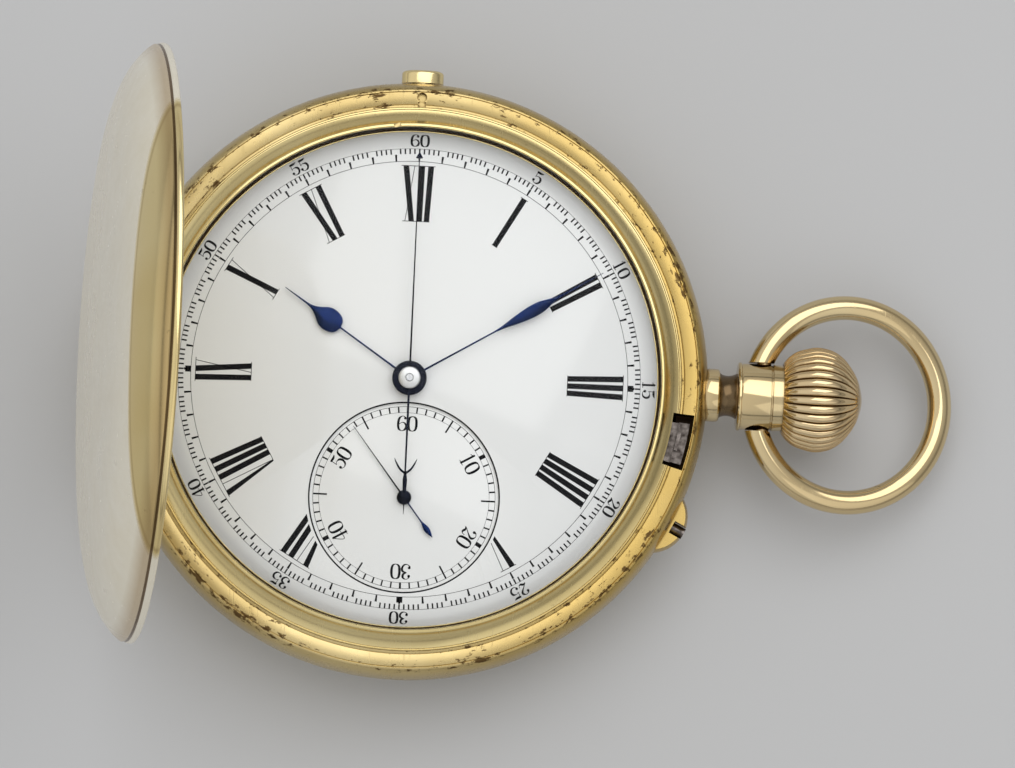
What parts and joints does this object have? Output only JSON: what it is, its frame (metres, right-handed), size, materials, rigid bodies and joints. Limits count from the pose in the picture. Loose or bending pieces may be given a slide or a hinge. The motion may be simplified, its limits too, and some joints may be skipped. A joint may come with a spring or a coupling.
{
  "type": "hunter pocket watch",
  "caption": "Round full hunter pocket watch with a hinged domed front lid, enamel dial, sunk seconds, sweep seconds hand, crown winding and a bow on the pendant.",
  "frame": {"origin": "middle of the flat of the back cover, on the axis of the dial", "axes": "+Z out of the dial, +Y towards 12 o'clock, +X towards the pendant and crown at 3 o'clock"},
  "size_m": [0.0763, 0.0534, 0.0602],
  "materials": {
    "gold": "polished, worn",
    "crystal": "clear",
    "enamel": null,
    "blued_steel": "blued",
    "steel": "polished",
    "gilt": "matt gilt",
    "ruby": "polished"
  },
  "bodies": {
    "case": {"case_middle": "gold", "bezel": "gold", "crystal": "crystal", "cover_hinge_pins": "gold", "cuvette_hinge_pin": "gold", "lid_spring": "steel", "case_spring_screws": "steel", "pendant": "gold", "bow_sleeve": "gold", "set_pin_guard": "gold", "dial": "enamel", "seconds_dial": "enamel", "mainplate": "gilt", "barrel_bridge": "gilt", "train_bridge": "gilt", "balance_cock": "gilt", "pallet_cock": "gilt", "jewels": "ruby", "screws": "steel", "coupling_lever": "steel"},
    "front_lid": {"front_lid": "gold"},
    "back_cover": {"back_cover": "gold"},
    "cuvette": {"cuvette": "gold"},
    "bow": {"bow": "gold"},
    "push_sleeve": {"push_sleeve": "steel"},
    "crown": {"crown": "gold"},
    "lock_spring": {"lock_spring": "steel"},
    "winding_stem": {"winding_stem": "steel"},
    "winding_pinion": {"winding_pinion": "steel"},
    "crown_wheel": {"crown_wheel": "steel"},
    "ratchet": {"ratchet_wheel": "steel", "barrel_arbor": "steel"},
    "click": {"click": "steel"},
    "set_pin": {"set_pin": "steel"},
    "setting_yoke": {"setting_yoke": "steel"},
    "clutch_wheel": {"clutch_wheel": "steel"},
    "chrono_pusher": {"chrono_pusher": "gold"},
    "operating_lever": {"operating_lever": "steel"},
    "column_wheel": {"column_wheel": "steel"},
    "hammer": {"hammer": "steel"},
    "coupling_wheel": {"coupling_wheel": "gilt"},
    "chrono_runner": {"chrono_runner": "steel", "sweep_hand": "steel"},
    "minute_hand": {"minute_hand": "blued_steel", "cannon_pinion": "steel"},
    "minute_wheel": {"minute_wheel": "gilt"},
    "hour_hand": {"hour_hand": "blued_steel", "hour_wheel": "gilt"},
    "setting_wheel": {"setting_wheel": "steel"},
    "fourth_wheel": {"fourth_wheel": "gilt", "seconds_hand": "blued_steel"},
    "third_wheel": {"third_wheel": "gilt"},
    "centre_wheel": {"centre_wheel": "gilt"},
    "barrel": {"barrel": "gilt", "mainspring": "steel"},
    "escape_wheel": {"escape_wheel": "steel"},
    "balance_wheel": {"balance_wheel": "gilt", "hairspring": "blued_steel"},
    "pallet_fork": {"pallet_fork": "steel"},
    "regulator": {"regulator": "steel"}
  },
  "joints": [
    {"name": "lid_opens", "type": "hinge", "parent": "case", "child": "front_lid", "pos_m": [-0.02545, 0, 0.0101], "axis": [0, -1, 0], "range_deg": [-82.3, 0], "stiffness_Nm_per_rad": 0.006},
    {"name": "back_opens", "type": "hinge", "parent": "case", "child": "back_cover", "pos_m": [-0.02545, 0, 0.0036], "axis": [0, 1, 0], "range_deg": [0, 95]},
    {"name": "cuvette_opens", "type": "hinge", "parent": "case", "child": "cuvette", "pos_m": [-0.02335, 0, 0.0036], "axis": [0, 1, 0], "range_deg": [0, 76]},
    {"name": "bow_swings", "type": "hinge", "parent": "case", "child": "bow", "pos_m": [0.03095, 0, 0.0069], "axis": [0, -1, 0], "range_deg": [-86.1, 113.3]},
    {"name": "crown_pushes", "type": "slide", "parent": "case", "child": "push_sleeve", "axis": [-1, 0, 0], "range_m": [0, 0.0005], "stiffness_N_per_m": 3000},
    {"name": "crown_turns", "type": "hinge", "parent": "push_sleeve", "child": "crown", "pos_m": [0.033, 0, 0.0069], "axis": [1, 0, 0], "continuous": true},
    {"name": "lid_catch_gives", "type": "hinge", "parent": "case", "child": "lock_spring", "pos_m": [0.00582, -0.02173, 0.008], "axis": [0, 0, 1], "range_deg": [0, 1.35]},
    {"name": "stem_turns", "type": "hinge", "parent": "case", "child": "winding_stem", "pos_m": [0.02, 0, 0.0069], "axis": [1, 0, 0], "continuous": true},
    {"name": "winding_pinion_turns", "type": "hinge", "parent": "case", "child": "winding_pinion", "pos_m": [0.016, 0, 0.0069], "axis": [1, 0, 0], "continuous": true},
    {"name": "crown_wheel_turns", "type": "hinge", "parent": "case", "child": "crown_wheel", "pos_m": [0.01198, 0, 0.0032], "axis": [0, 0, 1], "continuous": true},
    {"name": "ratchet_turns", "type": "hinge", "parent": "case", "child": "ratchet", "pos_m": [0.00588, 0.00906, 0.0032], "axis": [0, 0, 1], "continuous": true},
    {"name": "click_rocks", "type": "hinge", "parent": "case", "child": "click", "pos_m": [0.01505, 0.00826, 0.0032], "axis": [0, 0, 1], "range_deg": [0, 6], "stiffness_Nm_per_rad": 0.0002},
    {"name": "set_pin_pushes", "type": "slide", "parent": "case", "child": "set_pin", "axis": [-0.8942, 0.4478, 0], "range_m": [0, 0.0008], "stiffness_N_per_m": 300},
    {"name": "yoke_shifts", "type": "slide", "parent": "case", "child": "setting_yoke", "axis": [-1, 0, 0], "range_m": [0, 0.00092]},
    {"name": "clutch_turns", "type": "hinge", "parent": "setting_yoke", "child": "clutch_wheel", "pos_m": [0.0135, 0, 0.0069], "axis": [1, 0, 0], "continuous": true},
    {"name": "chrono_button_pushes", "type": "slide", "parent": "case", "child": "chrono_pusher", "axis": [0, -1, 0], "range_m": [0, 0.0006], "stiffness_N_per_m": 800},
    {"name": "operating_lever_rocks", "type": "hinge", "parent": "case", "child": "operating_lever", "pos_m": [-0.0104, 0.01542, 0.0032], "axis": [0, 0, -1], "range_deg": [0, 3.4]},
    {"name": "column_wheel_turns", "type": "hinge", "parent": "case", "child": "column_wheel", "pos_m": [-0.00573, 0.01077, 0.003], "axis": [0, 0, 1], "continuous": true},
    {"name": "hammer_rocks", "type": "hinge", "parent": "case", "child": "hammer", "pos_m": [-0.0062, 0.0066, 0.0027], "axis": [0, 0, 1], "range_deg": [0, 4]},
    {"name": "coupling_wheel_turns", "type": "hinge", "parent": "case", "child": "coupling_wheel", "pos_m": [0.00316, -0.00532, 0.003], "axis": [0, 0, -1], "continuous": true},
    {"name": "sweep_hand_turns", "type": "hinge", "parent": "case", "child": "chrono_runner", "pos_m": [0, 0, 0.006], "axis": [0, 0, -1], "continuous": true},
    {"name": "minute_hand_turns", "type": "hinge", "parent": "case", "child": "minute_hand", "pos_m": [0, 0, 0.009], "axis": [0, 0, -1], "continuous": true},
    {"name": "minute_wheel_turns", "type": "hinge", "parent": "case", "child": "minute_wheel", "pos_m": [0.00384, 0, 0.0086], "axis": [0, 0, -1], "continuous": true},
    {"name": "hour_hand_turns", "type": "hinge", "parent": "case", "child": "hour_hand", "pos_m": [0, 0, 0.009], "axis": [0, 0, -1], "continuous": true},
    {"name": "setting_wheel_turns", "type": "hinge", "parent": "case", "child": "setting_wheel", "pos_m": [0.0092, 0, 0.008], "axis": [0, 0, -1], "continuous": true},
    {"name": "fourth_wheel_turns", "type": "hinge", "parent": "case", "child": "fourth_wheel", "pos_m": [0, -0.01035, 0.006], "axis": [0, 0, -1], "continuous": true},
    {"name": "third_wheel_turns", "type": "hinge", "parent": "case", "child": "third_wheel", "pos_m": [0.0042, -0.00613, 0.0057], "axis": [0, 0, -1], "continuous": true},
    {"name": "centre_wheel_turns", "type": "hinge", "parent": "case", "child": "centre_wheel", "pos_m": [0, 0, 0.005], "axis": [0, 0, -1], "continuous": true},
    {"name": "barrel_turns", "type": "hinge", "parent": "case", "child": "barrel", "pos_m": [0.00588, 0.00906, 0.0065], "axis": [0, 0, -1], "continuous": true},
    {"name": "escape_wheel_turns", "type": "hinge", "parent": "case", "child": "escape_wheel", "pos_m": [-0.00476, -0.0076, 0.0057], "axis": [0, 0, -1], "continuous": true},
    {"name": "balance_swings", "type": "hinge", "parent": "case", "child": "balance_wheel", "pos_m": [-0.01385, -0.00315, 0.005], "axis": [0, 0, -1], "range_deg": [-20, 20], "stiffness_Nm_per_rad": 0.0000002},
    {"name": "pallet_fork_rocks", "type": "hinge", "parent": "case", "child": "pallet_fork", "pos_m": [-0.00826, -0.00588, 0.0058], "axis": [0, 0, -1], "range_deg": [-5, 5]},
    {"name": "regulator_shifts", "type": "hinge", "parent": "case", "child": "regulator", "pos_m": [-0.01385, -0.00315, 0.0033], "axis": [0, 0, 1], "range_deg": [-12, 12]}
  ],
  "couplings": [
    {"joint": "cuvette_opens", "follows": "back_opens", "ratio": 0.8},
    {"joint": "lid_catch_gives", "follows": "crown_pushes", "rad_per_m": 45.9},
    {"joint": "stem_turns", "follows": "crown_turns", "ratio": 1},
    {"joint": "winding_pinion_turns", "follows": "crown_turns", "ratio": 1},
    {"joint": "clutch_turns", "follows": "crown_turns", "ratio": 1},
    {"joint": "crown_wheel_turns", "follows": "crown_turns", "ratio": 0.46875},
    {"joint": "ratchet_turns", "follows": "crown_turns", "ratio": -0.32609},
    {"joint": "yoke_shifts", "follows": "set_pin_pushes", "ratio": 1.1184},
    {"joint": "operating_lever_rocks", "follows": "chrono_button_pushes", "rad_per_m": 96.2},
    {"joint": "coupling_wheel_turns", "follows": "fourth_wheel_turns", "ratio": -2},
    {"joint": "minute_wheel_turns", "follows": "minute_hand_turns", "ratio": -0.33333},
    {"joint": "hour_hand_turns", "follows": "minute_hand_turns", "ratio": 0.083333},
    {"joint": "setting_wheel_turns", "follows": "minute_hand_turns", "ratio": 0.3871},
    {"joint": "third_wheel_turns", "follows": "fourth_wheel_turns", "ratio": -0.13333},
    {"joint": "centre_wheel_turns", "follows": "fourth_wheel_turns", "ratio": 0.016667},
    {"joint": "barrel_turns", "follows": "fourth_wheel_turns", "ratio": -0.0020833},
    {"joint": "escape_wheel_turns", "follows": "fourth_wheel_turns", "ratio": -10},
    {"joint": "pallet_fork_rocks", "follows": "balance_swings", "ratio": -0.215}
  ]
}
